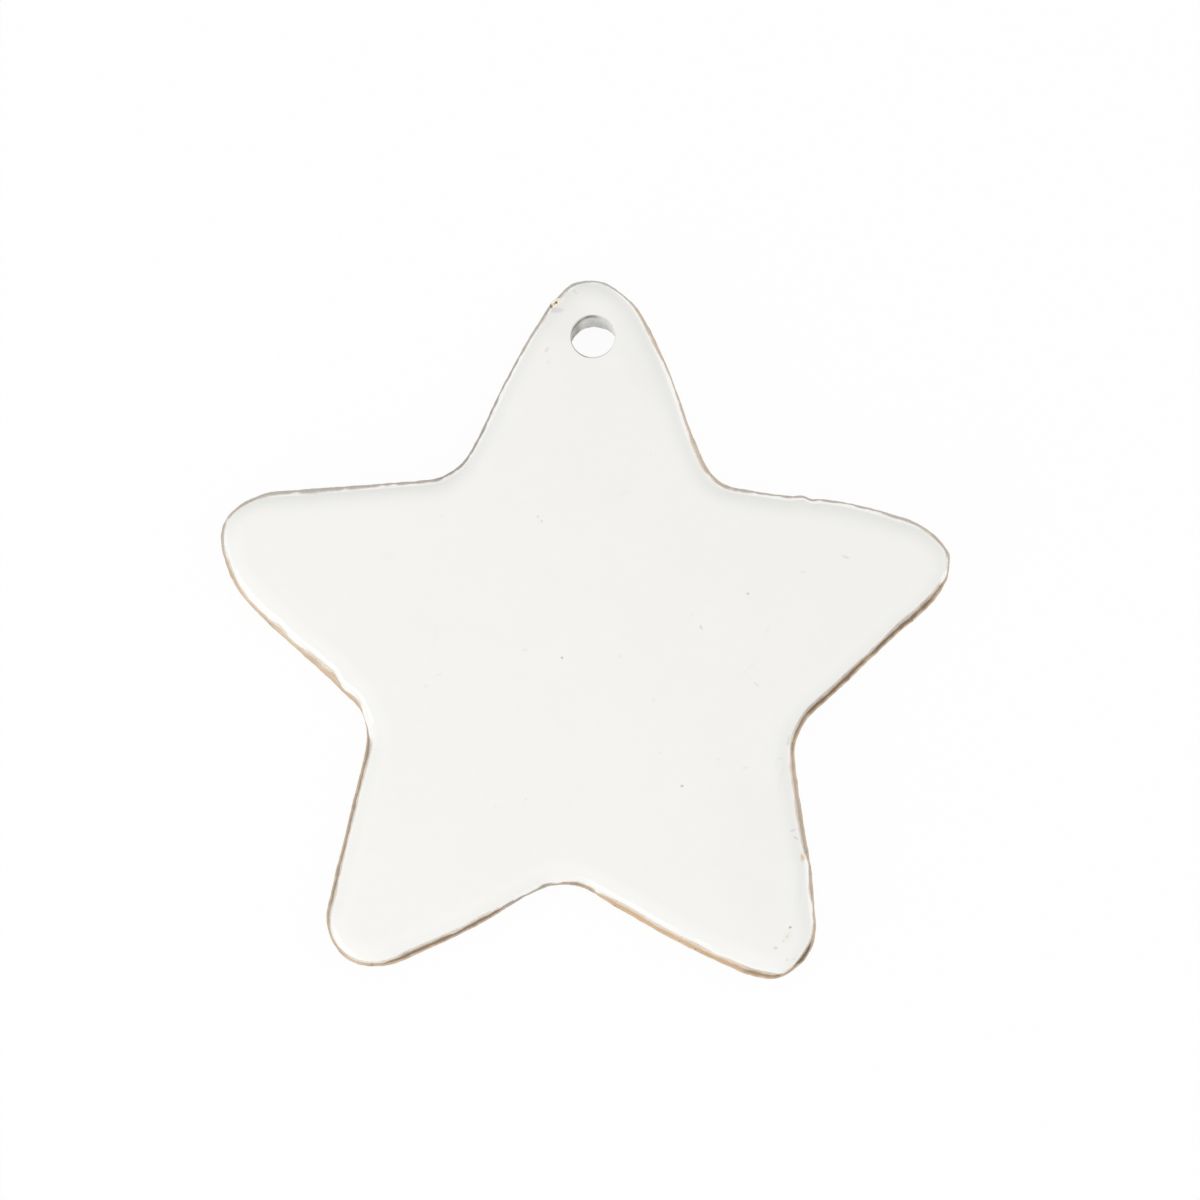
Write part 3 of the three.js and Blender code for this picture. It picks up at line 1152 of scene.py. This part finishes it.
# Painted shade greys the glaze towards the upper right, away from the low lamp, and on the
# shoulder, where it turns from the light. The glaze is whitest on the side, where it lies thick,
# and turns peach towards its edge
upper_right = (0.8, 0.6, 0)
rightward = reckon_vectors(tree, "DOT_PRODUCT", at, upper_right)["Value"]
painted_shade_upper_right = slope(tree, rightward, -40 * mm, 45 * mm)
colour = lay(tree, colour, (0.70, 0.70, 0.67), painted_shade_upper_right, 0.1)
painted_shade_shoulder = slope(tree, height, 5.97 * mm, 5.7 * mm)
colour = lay(tree, colour, (0.68, 0.70, 0.68), painted_shade_shoulder, 0.12)
thick = slope(tree, height, 5.1 * mm, 4.6 * mm)
colour = lay(tree, colour, (0.93, 0.925, 0.90), thick, 0.8)
runs = use(tree, mottling, at, patch=2.2 * mm, contrast=2.0)
thin = slope(tree, height, 3.2 * mm, glaze_seat)
thin = times(tree, thin, reckon(tree, "ADD", runs, 0.3))
colour = lay(tree, colour, (0.80, 0.62, 0.45), thin, 0.4)

# Places shaken by a fine noise, so that no mark in the glaze has an even outline
shake_patch = 0.5 * mm
shake_reach = (0.3 * mm, 0.3 * mm, 0)
shake = add(tree, "TexNoise")
shake.inputs["Scale"].default_value = 1 / shake_patch
wire(tree, at, shake.inputs["Vector"])
offset = reckon_vectors(tree, "SUBTRACT", shake.outputs["Color"], (0.5, 0.5, 0.5))["Vector"]
loose = reckon_vectors(tree, "MULTIPLY_ADD", offset, shake_reach, at)["Vector"]

hollows_made = 0.0
for name, middle, length, width, turn, strength, kind in glaze_marks_and_painted_light:
    mask = mark_at(tree, loose, middle, length, width, turn, height=4)
    colour = lay(tree, colour, tones[kind], mask, strength)
    if name.startswith("pinhole"):
        hollows_made = reckon(tree, "MAXIMUM", mask, hollows_made)

iron = use(tree, specks, at, spacing=3.2 * mm, speck=0.12 * mm, share=0.18)
colour = lay(tree, colour, (0.45, 0.42, 0.38), iron, 0.25)

# Round the hole's sharp rim the glaze drew thin and shows grey brown, and painted shade darkens it
# further at the lower left. Down in the hole the glaze is painted whiter than the front, painted
# light for the light that comes through the hole, but for three smears, partly soot and partly
# painted
# shade, which are also less glossy: one all the way down the left wall, and two near the front, at
# the upper left and on the right.
middle = hole_centre.xy / mm
rim_width = 2 * hole_edge / mm
on_the_front = mark_at(tree, at, middle, rim_width + 0.1, rim_width + 0.1, 0, 0.05)
deeper = mark_at(tree, at, middle, rim_width - 0.2, rim_width - 0.2, 0, 0.04)
rim = reckon(tree, "SUBTRACT", on_the_front, deeper)
colour = lay(tree, colour, (0.30, 0.28, 0.25), rim, 0.4)
# Painted shade darkens the rim at the lower left.
low_left_rim_shade = mark_at(tree, at, (-1.4, 32.9), 4.2, 1.6, -45, 0.5)
colour = lay(tree, colour, (0.20, 0.17, 0.14), times(tree, rim, low_left_rim_shade), 0.8)
# The hole's walls are painted whiter than the front: painted light for the light that comes through
# the hole.
inside = mark_at(tree, at, middle, rim_width + 0.4, rim_width + 0.4, 0, 0.02)
below = times(tree, inside, slope(tree, height, 5.95 * mm, 5.85 * mm))
colour = lay(tree, colour, (0.96, 0.955, 0.935), below, 0.95)
runs_up = reckon(tree, "ADD", milk, 0.45, clamp=True)
matt = 0.0
# Smears that are partly soot and partly painted shade on the walls in shade.
for _, place, length, width, turn, from_height, tint, strength in (
    ("the left wall", (-2.3, 35.2), 5.0, 2.8, 75, 0.5, (0.50, 0.485, 0.43), 0.75),
    ("the upper left", (-1.6, 36.1), 8.0, 4.2, 48, 4.3, (0.24, 0.225, 0.19), 0.85),
    ("the right", (2.4, 36.0), 4.5, 3.0, -55, 4.2, (0.36, 0.36, 0.34), 0.25),
):
    there = mark_at(tree, at, place, length, width, turn, 0.4)
    there = times(tree, there, times(tree, below, runs_up))
    shaded = slope(tree, height, from_height * mm, (from_height + 0.8) * mm)
    soot_and_shade = times(tree, times(tree, shaded, there), strength)
    colour = lay(tree, colour, tint, soot_and_shade)
    matt = reckon(tree, "MAXIMUM", soot_and_shade, matt)
wire(tree, colour, surface.inputs["Base Color"])

gloss = reckon(tree, "ADD", times(tree, milk, 0.05), 0.07)
gloss = reckon(tree, "ADD", times(tree, matt, 0.55), gloss)
wire(tree, gloss, surface.inputs["Roughness"])
peel = use(tree, grain, at, coarse=1.6 * mm, fine=0.5 * mm, mix=0.25)
skin = reckon(tree, "SUBTRACT", times(tree, peel, 0.12), hollows_made)
emboss(tree, surface, skin, 0.06 * mm)
glaze.data.materials.append(white_glaze)
print("white_glaze has", len(tree.nodes), "nodes")

# %% Hand the pieces to the frame
for piece, slot in ((clay, "bare_clay"), (glaze, "white_glaze"), (crumb, "bare_clay")):
    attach(piece, "root")
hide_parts("clay_body")
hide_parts("glaze_coat")
print("three pieces on the body")

# %% [markdown]
# Floor and light
#
# The star lies on white paper, which glows nearly white to the camera whatever the light, as the
# photograph's background does, and keeps a faint shadow. Most of the light is the even glow of the
# room. A large softbox high on the right and a small wide one, low at the lower left, make the
# lower edges bright and let the upper edges fall off. The large one doesn't mirror in the glaze,
# because the photograph shows no patch of it there.

# %% Floor
paper_glow = 0.95  # how much of the paper's look is its own even white
let_go()
bpy.ops.mesh.primitive_plane_add(size=3, location=(0, 0, -0.05 * mm))
floor = bpy.context.object
floor.name = "floor"
paper, tree, at, surface = start_material("floor_paper")
fibres = use(tree, mottling, at, patch=2 * mm, contrast=1.5)
sheet = lay(tree, (0.9, 0.9, 0.9, 1), (0.88, 0.88, 0.88), fibres)
wire(tree, sheet, surface.inputs["Base Color"])
surface.inputs["Roughness"].default_value = 1
surface.inputs["Specular IOR Level"].default_value = 0
rays = add(tree, "LightPath")
seen = reckon(tree, "MAXIMUM", rays.outputs["Is Camera Ray"], rays.outputs["Is Glossy Ray"])
seen = reckon(tree, "MAXIMUM", seen, rays.outputs["Is Transmission Ray"])
glow = add(tree, "Emission")
both = add(tree, "MixShader")
wire(tree, times(tree, seen, paper_glow), both.inputs["Fac"])
wire(tree, surface.outputs[0], both.inputs[1])
wire(tree, glow.outputs[0], both.inputs[2])
wire(tree, both.outputs[0], tree.nodes["Material Output"].inputs["Surface"])
floor.data.materials.append(paper)
print("paper", round(floor.dimensions.x, 1), "m wide")

# %% Light
room_glow = 0.768
world = bpy.data.worlds.new("studio")
world.use_nodes = True
room = world.node_tree.nodes["Background"]
room.inputs["Color"].default_value = (1, 1, 1, 1)
room.inputs["Strength"].default_value = room_glow
bpy.context.scene.world = world


def softbox(name, side, rise, distance, width, height, power):
    """A flat lamp aimed at the star: its side and rise are angles in degrees."""
    data = bpy.data.lights.new(name, "AREA")
    data.shape = "RECTANGLE"
    data.size = width
    data.size_y = height
    data.energy = power
    lamp = bpy.data.objects.new(name, data)
    bpy.context.scene.collection.objects.link(lamp)
    flat = towards(math.radians(side), math.cos(math.radians(rise)))
    lamp.location = (flat + Vector((0, 0, math.sin(math.radians(rise))))) * distance
    lamp.rotation_mode = "QUATERNION"
    lamp.rotation_quaternion = (-lamp.location).to_track_quat("-Z", "Y")
    print(name, "at", [round(value, 2) for value in lamp.location])
    return lamp


large = softbox("large_softbox", side=0, rise=51, distance=2.0, width=2.5, height=2.5, power=11.2)
large.visible_glossy = False
softbox("low_softbox", side=-142, rise=20, distance=0.6, width=0.56, height=0.28, power=1.2)

bpy.context.scene.view_settings.view_transform = "Standard"
